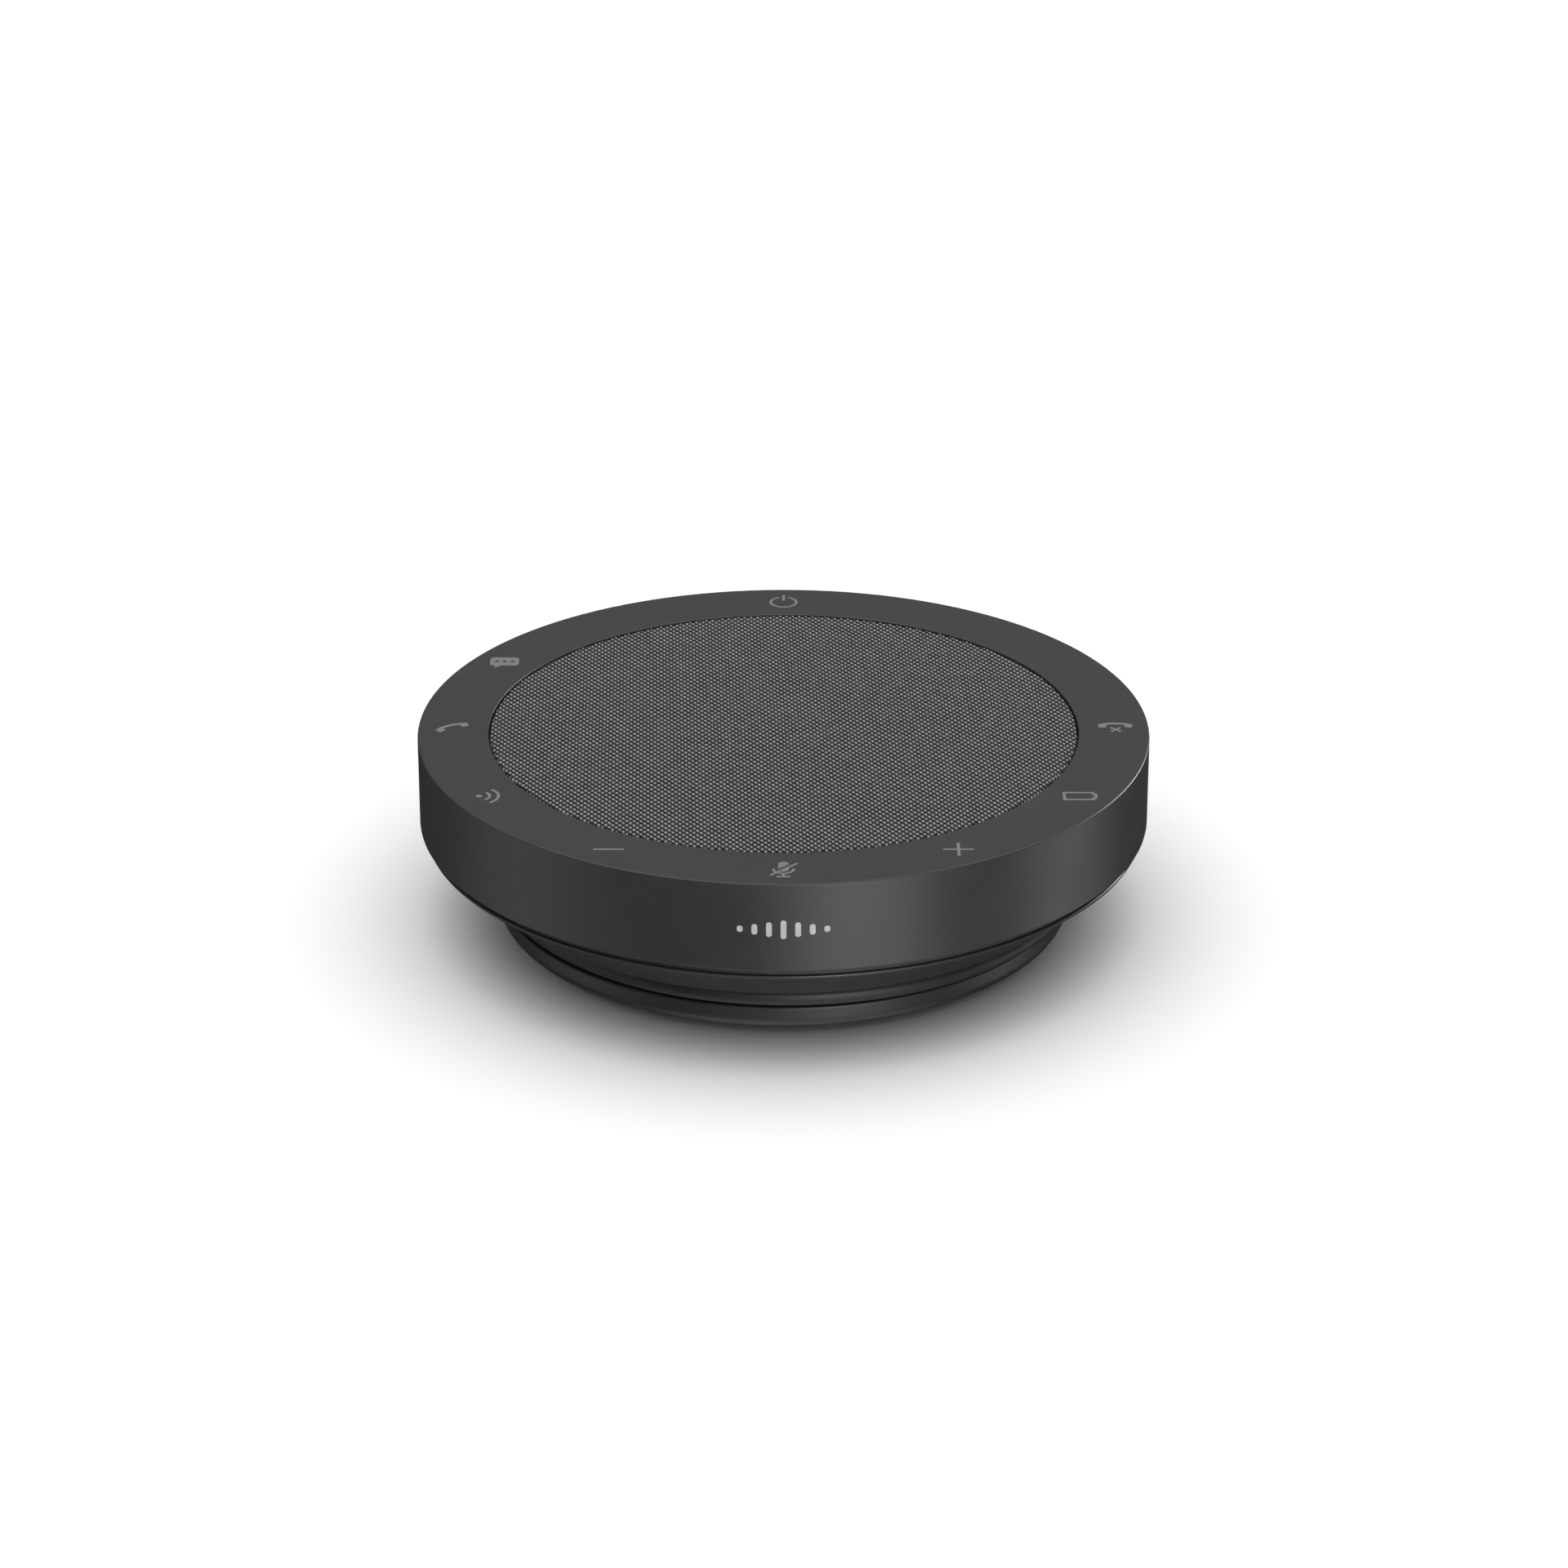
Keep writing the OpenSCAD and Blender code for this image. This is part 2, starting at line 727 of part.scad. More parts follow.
module lower_shell() {
  slope = [rim_r - undercut_r, z_seam_lo - z_groove];
  inward = wall * [-slope[1], slope[0]] / norm(slope);
  line = [undercut_r, z_groove] + inward;
  function line_r(z) = line[0] + (z - line[1]) * slope[0] / slope[1];
  function line_z(r) = line[1] + (r - line[0]) * slope[1] / slope[0];
  tongue_in = tongue_r - tongue_t;
  fillet = 0.8;
  lean = atan2(slope[1], slope[0]);
  edge_in = fillet * tan(lean / 2);
  color(casing_c) difference() {
    union() {
      rotate_extrude() polygon(concat(
        [[0, z_groove]],
        arc([undercut_r - edge_in, z_groove + fillet], fillet, -90, -90 + lean),
        arc([rim_r - 0.35, z_seam_lo - 0.3], 0.3, -50, 90),
        [[tongue_r, z_seam_lo], [tongue_r, z_seam_lo + 3], [tongue_in, z_seam_lo + 3],
          [tongue_in, line_z(tongue_in)], [line_r(z_deck), z_deck], [0, z_deck]]));
      around(corner_angles, corner_r) disc(4, z_deck - eps, z_board - z_deck + eps);
      for (p = base_screws_xy) translate([p[0], p[1], 0]) disc(2.6, z_deck - eps, 0.9);
      intersection() {
        plug_pocket(z_deck - eps, 1);
        translate([0, 0, z_deck - 1]) ring(line_r(z_deck) + 0.4, board_r[0] - 1, 0, 3);
      }
    }
    around(corner_angles, corner_r) {
      disc(screw_head[0] + 0.3, z_groove - 1, 3.3);
      disc(screw_shank + 0.15, z_groove, 8);
    }
    for (p = base_screws_xy) translate([p[0], p[1], 0]) disc(screw_shank, z_groove - 1, 3.6);
    translate([0, -3, 0]) block([battery_size[0] + 3, battery_size[1] + 2, 10], z_groove - 3);
    rotate(harness_at) translate([23, 0, 0]) block([2.4, 5, 6], z_groove - 1);
    plug_pocket(z_groove - 1, 2.3);
  }
}

module seam_seal() {
  color(rubber_c) ring(body_r - 1.3, tongue_r, z_seam_lo, seam_h);
}

module housing_screws() {
  color(steel_c) around(corner_angles, corner_r) screw(z_groove + 2.3, 8.5);
}

// ---- Foot, groove and lead ----

// Distance from the axis, at u turns from the rear, of a circle cut by a straight run at the rear
blend_power = 20;
function cut_circle(r, run_y, u) =
  1 / pow(pow(1 / r, blend_power) + pow(max(cos(360 * u), 0) / run_y, blend_power), 1 / blend_power);
function at_turn(r, u) = r * [-sin(360 * u), cos(360 * u)];

module neck_shape(inset) {
  polygon([for (i = [0:119]) at_turn(cut_circle(neck_r, neck_flat, i / 120) - inset, i / 120)]);
}

module cable_spool() {
  color(casing_c) translate([0, 0, z_lip]) difference() {
    linear_extrude(groove_h) neck_shape(0);
    translate([0, 0, -1]) linear_extrude(groove_h + 2) neck_shape(neck_wall);
    translate([neck_gap[0], neck_flat - 4, -1]) cube([neck_gap[1] - neck_gap[0], 8, groove_h + 2]);
  }
}

module base_plate() {
  color(casing_c) difference() {
    union() {
      difference() {
        rotate_extrude() polygon(concat(
          [[0, z_base]],
          arc([lip_r - 2.55, z_base + 2.4], 2.4, -90, -5, 9),
          arc([lip_r - 0.4, z_lip - 0.4], 0.4, 0, 90),
          [[0, z_lip]]));
        translate([0, 0, z_floor]) linear_extrude(5) neck_shape(neck_wall);
      }
      for (p = base_screws_xy) translate([p[0], p[1], 0])
        disc(2.8, z_floor - eps, z_groove - z_floor + eps);
    }
    disc(foot_r + 0.1, z_base - 1, 1.5);
    for (p = base_screws_xy) translate([p[0], p[1], 0]) {
      disc(screw_head[0] + 0.2, z_base - 1, z_base_seat - z_base + 1);
      disc(screw_shank + 0.15, z_base, 12);
    }
    plug_pocket(z_floor, 5);
  }
}

module base_screws() {
  color(steel_c) for (p = base_screws_xy) translate([p[0], p[1], 0]) screw(z_base_seat, 8.4);
}

module foot_pad() {
  groove_w = 1.6;
  color(rubber_c) rotate_extrude() difference() {
    polygon(concat([[0, 0]], arc([foot_r - 0.5, 0.5], 0.5, -90, 0),
      [[foot_r, z_base + 0.5], [0, z_base + 0.5]]));
    for (r = [30.5:3.6:foot_r - 3]) translate([r, 0]) circle(d = groove_w, $fn = 24);
  }
}

// Grommet that fills the gap in the neck's flat, with a slanting channel for the lead
module strain_relief() {
  angle = 180 - atan(exit_slope);
  h = groove_h - 0.1;
  color(rubber_c) difference() {
    union() {
      translate([neck_gap[0], neck_flat - neck_wall, z_lip + 0.05])
        cube([neck_gap[1] - neck_gap[0], neck_wall, h]);
      translate([-4, neck_flat - 4.6, z_lip + 0.05]) cube([14, 2.8, h]);
    }
    translate([exit_start[0], exit_start[1], z_lead]) rotate(angle) rotate([0, 90, 0])
      translate([0, 0, -10]) cylinder(r = lead_r, h = 40);
  }
}

// The lead's route: straight out through the neck's flat, then round and round the neck
dock_shift = plug_y + 0.1 - wind_flat - 3 * lead_pitch;
function run_y(u) = wind_flat + lead_pitch * u + (u > 2.5 ? dock_shift : 0);
function wind_point(u) = at_turn(cut_circle(wind_r + lead_pitch * u, run_y(u), u), u);
function exit_y(x) = exit_start[1] + exit_slope * (exit_start[0] - max(x, exit_bend_x))
  + (x < exit_bend_x ? exit_slope * ((exit_bend_x - x)
    - pow(exit_bend_x - x, 2) / (2 * (exit_bend_x - exit_end_x))) : 0);
lead_route = concat(
  [for (x = [exit_start[0]:-4:exit_end_x + 1]) [x, exit_y(x)]],
  [for (u = [wind_first:wind_step:wind_last]) wind_point(u)],
  [[tail_x + 3.5, plug_y], [tail_x, plug_y]]);

// A round tube along points at one height
module flat_tube(points, r, z, sides = 8) {
  count = len(points);
  function heading(i) = points[min(i + 1, count - 1)] - points[max(i - 1, 0)];
  function side_dir(i) = [heading(i)[1], -heading(i)[0]] / norm(heading(i));
  vertices = [for (i = [0:count - 1], k = [0:sides - 1])
    let (across = points[i] + r * cos(360 * k / sides) * side_dir(i))
      [across[0], across[1], z + r * sin(360 * k / sides)]];
  sides_faces = [for (i = [0:count - 2], k = [0:sides - 1])
    let (a = i * sides + k, b = i * sides + (k + 1) % sides) each
      [[a, b, b + sides], [a, b + sides, a + sides]]];
  caps = [[for (k = [sides - 1:-1:0]) k], [for (k = [0:sides - 1]) (count - 1) * sides + k]];
  polyhedron(points = vertices, faces = concat(sides_faces, caps));
}

module usb_lead() {
  color(rubber_c) flat_tube(lead_route, lead_r, z_lead);
}

// Flat bundle of conductors from the inner end of the lead up to the main board
module lead_harness() {
  r_in = 23;
  r_out = chamber_r + 0.45;
  t = 0.7;
  z_run = z_deck + 0.15;
  z_end = z_board + board_t + 1;
  color([0.55, 0.55, 0.58]) rotate(harness_at) translate([0, 2, 0]) rotate([90, 0, 0]) linear_extrude(4)
    polygon([[r_in - 0.4, z_lead + lead_r], [r_in + 0.4, z_lead + lead_r], [r_in + 0.4, z_run],
      [r_out + t, z_run],
      [r_out + t, z_end - t], [38.3, z_end - t], [38.3, z_end], [r_out, z_end], [r_out, z_run + t],
      [r_in - 0.4, z_run + t]]);
}

module along_plug(x0, x1) {
  translate([x0, plug_y, z_lead]) rotate([90, 0, 90]) linear_extrude(x1 - x0) children();
}

module plug_body() {
  color(rubber_c) {
    along_plug(-plug_l / 2, plug_l / 2) rounded_rect(plug_w, plug_h, 2);
    translate([plug_l / 2, plug_y, z_lead]) rotate([0, 90, 0])
      cylinder(r1 = 2.6, r2 = lead_r + 0.25, h = tail_x - plug_l / 2);
  }
}

module plug_shell() {
  half_h = shell_size[2] / 2;
  x_tip = -plug_l / 2 - shell_size[0];
  color(steel_c) difference() {
    along_plug(x_tip, -plug_l / 2) rounded_rect(shell_size[1], shell_size[2], half_h - eps);
    along_plug(x_tip - 1, -plug_l / 2 - 1)
      rounded_rect(shell_size[1] - 0.6, shell_size[2] - 0.6, half_h - 0.3 - eps);
  }
  color(chip_c) along_plug(x_tip + 0.8, -plug_l / 2 - 1) square([6.6, 0.7], center = true);
}

// Cradle in the base plate's notch, with a blind socket for the plug's metal tip
module plug_dock() {
  floor_h = z_lead - plug_h / 2 - 0.1 - z_floor;
  x_face = -plug_l / 2 - 0.15;
  color(inner_c) difference() {
    intersection() {
      union() {
        translate([dock_x[0], dock_y, z_floor]) cube([dock_x[1] - dock_x[0], 20, floor_h]);
        translate([dock_x[0], dock_y, z_floor]) cube([x_face - dock_x[0], 20, z_groove - 0.2 - z_floor]);
      }
      disc(lip_r - 0.3, 0, 30);
    }
    along_plug(x_face - 7, x_face + 1) rounded_rect(shell_size[1] + 0.4, shell_size[2] + 0.4, 1.4);
    along_plug(plug_l / 2 - 0.5, dock_x[1] + 1) circle(r = 3);
  }
}

// ---- Assembly ----

upper_housing();
icon_power();
icon_meeting();
icon_answer();
icon_wireless();
icon_volume_down();
icon_mute();
icon_volume_up();
icon_battery();
icon_end_call();
front_badge();
grille_fabric();
grille_plate();
light_guide();
status_leds();
touch_board();
touch_controller();
microphones();
mic_boots();
chassis();
chassis_screws();
driver_gasket();
driver_frame();
driver_yoke();
driver_magnet();
pole_piece();
driver_terminals();
spider();
surround();
cone();
dust_cap();
coil_former();
voice_coil();
driver_screws();
speaker_wires();
speaker_chamber();
chamber_screws();
main_board();
main_processor();
wireless_module();
audio_amplifier();
power_parts();
board_connectors();
ribbon_cable();
battery_pack();
battery_foam();
battery_leads();
lower_shell();
seam_seal();
housing_screws();
cable_spool();
base_plate();
base_screws();
foot_pad();
strain_relief();
usb_lead();
lead_harness();
plug_body();
plug_shell();
plug_dock();
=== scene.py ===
"""Looks of the round conference speakerphone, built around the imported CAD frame."""

import json
import math

import bpy
import numpy as np
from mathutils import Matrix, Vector


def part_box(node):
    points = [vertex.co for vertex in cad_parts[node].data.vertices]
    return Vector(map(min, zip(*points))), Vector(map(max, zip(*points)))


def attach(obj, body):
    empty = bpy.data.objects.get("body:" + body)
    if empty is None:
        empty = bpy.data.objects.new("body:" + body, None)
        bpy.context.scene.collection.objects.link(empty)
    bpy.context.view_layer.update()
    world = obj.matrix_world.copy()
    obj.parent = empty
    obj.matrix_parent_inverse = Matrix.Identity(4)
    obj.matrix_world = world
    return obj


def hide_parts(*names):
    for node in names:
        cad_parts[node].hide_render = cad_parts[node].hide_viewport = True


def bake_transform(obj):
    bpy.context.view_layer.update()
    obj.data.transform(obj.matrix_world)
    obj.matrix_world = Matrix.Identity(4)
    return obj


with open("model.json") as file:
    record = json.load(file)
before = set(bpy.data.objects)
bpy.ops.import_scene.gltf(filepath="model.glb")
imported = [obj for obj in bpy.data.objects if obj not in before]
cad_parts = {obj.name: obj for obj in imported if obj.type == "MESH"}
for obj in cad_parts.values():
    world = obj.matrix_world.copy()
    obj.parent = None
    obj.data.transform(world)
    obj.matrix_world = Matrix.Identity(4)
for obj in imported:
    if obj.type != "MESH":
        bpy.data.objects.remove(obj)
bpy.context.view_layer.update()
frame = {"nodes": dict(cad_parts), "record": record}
nodes = frame["nodes"]
slot_of = {part["node"]: part["material_slot"] for part in frame["record"]["subparts"]}
MM = 0.001
TAU = 2 * math.pi

# ---------------------------------------------------------------- scene helpers

def new_object(name, data):
    """A new object in the scene that shows data."""
    item = bpy.data.objects.new(name, data)
    bpy.context.collection.objects.link(item)
    return item

def look(item, place, target):
    """Puts a camera or a light at place, facing target. Both are in metres."""
    item.location = place
    item.rotation_mode = "QUATERNION"
    item.rotation_quaternion = (target - place).to_track_quat("-Z", "Y")

# ---------------------------------------------------------------- camera

CAMERA_PLACE = Vector((0, -0.75209, 0.363737))    # m
CAMERA_TARGET = Vector((0, 0, 0.02285))           # m
LENS, SENSOR = 114.84, 36                         # mm
SHIFT_X = 0.0003                                  # share of the picture's width

def make_camera():
    data = bpy.data.cameras.new("camera")
    data.sensor_width = SENSOR
    data.lens = LENS
    data.shift_x = SHIFT_X
    data.clip_start = 0.05
    data.clip_end = 20
    camera = new_object("camera", data)
    look(camera, CAMERA_PLACE, CAMERA_TARGET)
    bpy.context.scene.camera = camera

make_camera()

# ---------------------------------------------------------------- node helpers

def add(tree, kind, inputs=None, **props):
    """A new node, its settings, and its inputs by index or name: a value or another node's output."""
    node = tree.nodes.new(kind)
    for key, value in props.items():
        setattr(node, key, value)
    for key, value in (inputs or {}).items():
        if isinstance(value, bpy.types.NodeSocket):
            tree.links.new(value, node.inputs[key])
        else:
            node.inputs[key].default_value = value
    return node

def math_node(tree, operation, a, b=0.0, c=0.0):
    return add(tree, "ShaderNodeMath", {0: a, 1: b, 2: c}, operation=operation).outputs[0]

def centred(tree, value):
    """A noise's value, from -0.5 to 0.5."""
    return math_node(tree, "SUBTRACT", value, 0.5)

def noise(tree, vector, scale, detail=3.0, rough=0.55):
    """Noise from 0 to 1; scale is in lumps per metre."""
    return add(tree, "ShaderNodeTexNoise", {"Vector": vector, "Scale": scale, "Detail": detail,
                                            "Roughness": rough}).outputs["Fac"]

def map_range(tree, value, low, high, to_low=0.0, to_high=1.0, kind="LINEAR"):
    """value's range from low to high, brought to the range from to_low to to_high."""
    return add(tree, "ShaderNodeMapRange", {"Value": value, "From Min": low, "From Max": high,
                                            "To Min": to_low, "To Max": to_high},
               interpolation_type=kind).outputs[0]

def ramp(tree, factor, stops):
    """A colour ramp; stops are (position, colour or grey)."""
    node = add(tree, "ShaderNodeValToRGB", {"Fac": factor})
    items = node.color_ramp.elements
    while len(items) < len(stops):
        items.new(0.5)
    for item, (at, colour) in zip(items, stops):
        item.position = at
        item.color = (*colour, 1) if hasattr(colour, "__len__") else (colour, colour, colour, 1)
    return node.outputs["Color"]

def start(name):
    """A new material, its node tree, its shader, and the object's own coordinates in metres."""
    material = bpy.data.materials.new(name)
    material.use_nodes = True
    tree = material.node_tree
    place = add(tree, "ShaderNodeTexCoord").outputs["Object"]
    return material, tree, tree.nodes["Principled BSDF"], place

def set_values(shader, **values):
    """Constant values of the shader's sockets; a name's underscores stand for spaces."""
    for key, value in values.items():
        shader.inputs[key.replace("_", " ")].default_value = value

def set_bump(tree, shader, height, strength, depth):
    """Relief from a height; depth is in mm."""
    bump = add(tree, "ShaderNodeBump", {"Height": height, "Strength": strength, "Distance": depth * MM})
    tree.links.new(bump.outputs["Normal"], shader.inputs["Normal"])

def stretched(tree, place, scale):
    return add(tree, "ShaderNodeMapping", {"Vector": place, "Scale": scale}).outputs["Vector"]

def lighter(colour, change):
    """The colour made lighter by a share of itself, or darker if change is below 0."""
    return tuple(min(c * (1 + change), 1) for c in colour)

# ---------------------------------------------------------------- moulded, cast and plated surfaces

MOTTLE_SCALE = 90.0            # lumps per metre of the broad mottling
FINE_SHARE = 0.4               # share of the fine grain in the colour; the rest is the mottling
SMOOTHEST = 0.05               # the least roughness

def surface(name, colour, rough, grain=0.25, depth=0.02, mottle=0.12, spread=0.06, metal=0.0,
            specular=0.5, stretch=None, coat=0.0):
    """Fine grain, broad mottling, and a roughness that varies. grain and depth are in mm; mottle
    and spread are how far the colour and the roughness vary; stretch scales the grain's axes."""
    material, tree, shader, place = start(name)
    set_values(shader, Metallic=metal, Specular_IOR_Level=specular, Coat_Weight=coat,
               Coat_Roughness=0.2)
    at = stretched(tree, place, stretch) if stretch else place
    fine = noise(tree, at, 1 / (grain * MM), 2.0)
    broad = noise(tree, place, MOTTLE_SCALE, 4.0, 0.6)
    mixed = math_node(tree, "MULTIPLY_ADD", fine, FINE_SHARE,
                      math_node(tree, "MULTIPLY", broad, 1 - FINE_SHARE))
    tones = ramp(tree, mixed, [(0.32, lighter(colour, -mottle)), (0.68, lighter(colour, mottle))])
    tree.links.new(tones, shader.inputs["Base Color"])
    roughness = map_range(tree, broad, 0.3, 0.7, max(rough - spread, SMOOTHEST), min(rough + spread, 1))
    tree.links.new(roughness, shader.inputs["Roughness"])
    set_bump(tree, shader, fine, 0.6, depth)
    return material

# name: colour, roughness, and what differs from surface()'s own values
FINISHES = {
    # outside
    "casing_plastic": ((0.031, 0.031, 0.032), 0.40,
                       dict(grain=0.30, depth=0.010, mottle=0.08, spread=0.03, specular=0.35)),
    "icon_inlay": ((0.17, 0.17, 0.17), 0.45, dict(grain=0.2, depth=0.004, mottle=0.06)),
    "badge_print": ((0.62, 0.62, 0.625), 0.38, dict(grain=0.15, depth=0.004, specular=0.2)),
    "soft_rubber": ((0.012, 0.012, 0.012), 0.62, dict(grain=0.2, depth=0.012)),
    "foot_rubber": ((0.016, 0.016, 0.0165), 0.58, dict(mottle=0.2, spread=0.08)),
    "lead_jacket": ((0.022, 0.022, 0.023), 0.50, dict(grain=0.35, depth=0.012, specular=0.30)),
    "plug_metal": ((0.66, 0.66, 0.67), 0.24,
                   dict(grain=0.5, depth=0.004, metal=1.0, stretch=(0.2, 3, 3))),
    # frame and lights
    "inner_plastic": ((0.020, 0.020, 0.021), 0.55, dict(grain=0.35)),
    "plated_steel": ((0.55, 0.56, 0.58), 0.32,
                     dict(grain=0.4, depth=0.004, mottle=0.08, metal=1.0, stretch=(1, 6, 1))),
    "light_guide": ((0.72, 0.75, 0.78), 0.3, dict(grain=0.4, depth=0.01, mottle=0.04)),
    "led_resin": ((0.80, 0.74, 0.42), 0.25, dict(grain=0.2, depth=0.01, mottle=0.1)),
    # loudspeaker
    "basket_plastic": ((0.026, 0.026, 0.027), 0.48, dict(grain=0.5, mottle=0.2)),
    "magnet_nickel": ((0.55, 0.54, 0.52), 0.22, dict(grain=0.5, depth=0.004, metal=1.0)),
    "cone_paper": ((0.014, 0.014, 0.015), 0.75, dict(grain=0.7, depth=0.05, mottle=0.3)),
    "former_film": ((0.45, 0.27, 0.07), 0.22, dict(grain=1.0, depth=0.01, coat=0.4)),
    "copper_wire": ((0.70, 0.33, 0.16), 0.28,
                    dict(grain=0.2, depth=0.03, metal=1.0, stretch=(0.1, 0.1, 3))),
    # electronics
    "chip_resin": ((0.014, 0.014, 0.015), 0.5, dict(grain=0.12, depth=0.01)),
    "shield_can": ((0.58, 0.58, 0.55), 0.36, dict(grain=0.6, depth=0.006, metal=1.0, mottle=0.1)),
    "wire_insulation": ((0.10, 0.012, 0.010), 0.35, dict(grain=0.4, depth=0.01)),
    "connector_nylon": ((0.62, 0.60, 0.50), 0.42, dict(grain=0.5, depth=0.01)),
    "ribbon_film": ((0.40, 0.16, 0.03), 0.28, dict(grain=0.5, depth=0.01, coat=0.3)),
    "battery_wrap": ((0.012, 0.055, 0.21), 0.25, dict(grain=2.5, depth=0.05, coat=0.5)),
}

# ---------------------------------------------------------------- weave

WEAVE_U, WEAVE_V = (0.878, -0.594), (0.921, 0.638)    # turns per mm in x and y: the two diagonals
WEAVE_MAIN = (0.47, 0.53)                             # each diagonal's share of the height
WEAVE_CROSSING = 0.20                                 # more height where two ridges cross
WEAVE_SECOND = ((0.15, 1.4), (0.20, 2.0))             # share and lead of a wave half as long on each
WEAVE_RISE = 0.10                                     # mm
# Colour along the height's range: the dark low end is painted shade in the pits, and the pale high end is
# painted highlight on the floats.
WEAVE_SHADED_TONES = [(0.0, 0.001), (0.22, 0.010), (0.44, 0.058), (0.66, 0.148), (1.0, 0.42)]

def weave_height(x, y):
    """Height of the cloth, from -1 in its pits to 1 on the pale floats. x, y in mm."""
    u, v = (TAU * (turns[0] * x + turns[1] * y) for turns in (WEAVE_U, WEAVE_V))
    return WEAVE_MAIN[0] * np.cos(u) + WEAVE_MAIN[1] * np.cos(v)

def woven_fabric():
    """Two sets of diagonal ridges, pale where they cross and dark between: the colour follows the height,
    with painted shade in the pits and painted highlight on the floats.
    """
    material, tree, shader, place = start("woven_fabric")
    wobble = math_node(tree, "MULTIPLY", centred(tree, noise(tree, place, 260.0, 2.0)), 0.9)
    def phase(turns):
        along = add(tree, "ShaderNodeVectorMath", {0: place, 1: (*(TAU * t / MM for t in turns), 0)},
                    operation="DOT_PRODUCT")
        return math_node(tree, "ADD", along.outputs["Value"], wobble)
    def wave(share, angle, lead, under):
        """under plus share * cos(angle + lead)"""
        cosine = math_node(tree, "COSINE", math_node(tree, "ADD", angle, lead))
        return math_node(tree, "MULTIPLY_ADD", cosine, share, under)
    diagonals = [phase(WEAVE_U), phase(WEAVE_V)]
    height = 0.0
    for angle, share in zip(diagonals, WEAVE_MAIN):
        height = wave(share, angle, 0.0, height)
    height = wave(WEAVE_CROSSING, math_node(tree, "ADD", *diagonals), 0.0, height)
    for angle, (share, lead) in zip(diagonals, WEAVE_SECOND):
        height = wave(share, math_node(tree, "MULTIPLY", angle, 2.0), lead, height)
    fibres = noise(tree, stretched(tree, place, (1, 0.35, 1)), 9000.0, 2.0)
    patches = noise(tree, place, 800.0, 1.0)
    tone = math_node(tree, "MULTIPLY_ADD", centred(tree, fibres), 1.1, height)
    tone = math_node(tree, "MULTIPLY_ADD", centred(tree, patches), 0.5, tone)
    # Painted shade and painted highlight: the height sets the colour, dark in the pits and pale on the
    # floats.
    tree.links.new(ramp(tree, map_range(tree, tone, -1.0, 1.3), WEAVE_SHADED_TONES), shader.inputs["Base Color"])
    set_values(shader, Roughness=0.85, Specular_IOR_Level=0.08, Sheen_Weight=0.04, Sheen_Roughness=0.5)
    set_bump(tree, shader, math_node(tree, "MULTIPLY_ADD", fibres, 0.15, height), 0.5, 0.12)
    return material

# ---------------------------------------------------------------- other materials

def circuit_board():
    """Green lacquer over traces that come and go."""
    material, tree, shader, place = start("circuit_board")
    black, white = (0, 0, 0, 1), (1, 1, 1, 1)
    traces = add(tree, "ShaderNodeTexBrick", {"Vector": place, "Scale": 420.0, "Mortar Size": 0.035,
                                              "Color1": black, "Color2": black, "Mortar": white},
                 offset=0.35)
    line = math_node(tree, "MULTIPLY", traces.outputs["Color"], noise(tree, place, 300.0, 3.0))
    lacquer = ramp(tree, line, [(0.0, (0.008, 0.07, 0.035)), (0.45, (0.012, 0.11, 0.05)),
                                (0.7, (0.03, 0.19, 0.09))])
    tree.links.new(lacquer, shader.inputs["Base Color"])
    set_values(shader, Roughness=0.35)
    set_bump(tree, shader, line, 0.4, 0.03)
    return material

WAVE_LENGTH = TAU / 20         # the wave texture's wavelength at a scale of 1

def cloth(name, dark, pale, wave):
    """Plain cloth with ridges along X and Y; wave is their pitch in mm."""
    material, tree, shader, place = start(name)
    across, along = [add(tree, "ShaderNodeTexWave", {"Vector": place, "Scale": WAVE_LENGTH / (wave * MM),
                                                     "Distortion": 0.6},
                         bands_direction=axis).outputs["Fac"] for axis in ("X", "Y")]
    both = math_node(tree, "MULTIPLY_ADD", across, 0.5, math_node(tree, "MULTIPLY", along, 0.5))
    both = math_node(tree, "MULTIPLY_ADD", noise(tree, place, 2500.0), 0.3, both)
    tree.links.new(ramp(tree, both, [(0.2, dark), (1.0, pale)]), shader.inputs["Base Color"])
    set_values(shader, Roughness=0.8, Sheen_Weight=0.1)
    set_bump(tree, shader, both, 0.5, 0.08)
    return material

def foam():
    """Dark foam with open cells."""
    material, tree, shader, place = start("foam")
    cells = add(tree, "ShaderNodeTexVoronoi", {"Vector": place, "Scale": 1900.0}).outputs["Distance"]
    tones = ramp(tree, cells, [(0.0, 0.004), (0.35, 0.02), (0.7, 0.035)])
    tree.links.new(tones, shader.inputs["Base Color"])
    set_values(shader, Roughness=0.95)
    set_bump(tree, shader, cells, 0.7, 0.2)
    return material

MATERIALS = {name: surface(name, colour, rough, **rest) for name, (colour, rough, rest) in FINISHES.items()}
MATERIALS["woven_fabric"] = woven_fabric()
MATERIALS["circuit_board"] = circuit_board()
MATERIALS["spider_cloth"] = cloth("spider_cloth", (0.16, 0.09, 0.03), (0.42, 0.27, 0.10), wave=0.8906)
MATERIALS["foam"] = foam()

for name, node in nodes.items():
    node.data.materials.clear()
    node.data.materials.append(MATERIALS[slot_of[name]])

# ---------------------------------------------------------------- mesh helpers

def make_piece(name, points, faces, slot_name, body=None):
    """A smooth mesh piece from points in mm. Its finish is a slot's, and it rides on body if given."""
    mesh = bpy.data.meshes.new(name)
    mesh.from_pydata([tuple(p) for p in np.asarray(points, float) * MM], [], faces)
    mesh.update()
    mesh.materials.append(MATERIALS[slot_name])
    mesh.shade_smooth()
    piece = new_object(name, mesh)
    if body:
        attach(piece, body)
    return piece

def grid_faces(rows, columns, wrap=False, close=False):
    """Quads of a grid of points. wrap joins the last column to the first, close the last row."""
    return [(i * columns + j, i * columns + (j + 1) % columns,
             (i + 1) % rows * columns + (j + 1) % columns, (i + 1) % rows * columns + j)
            for i in range(rows if close else rows - 1)
            for j in range(columns if wrap else columns - 1)]

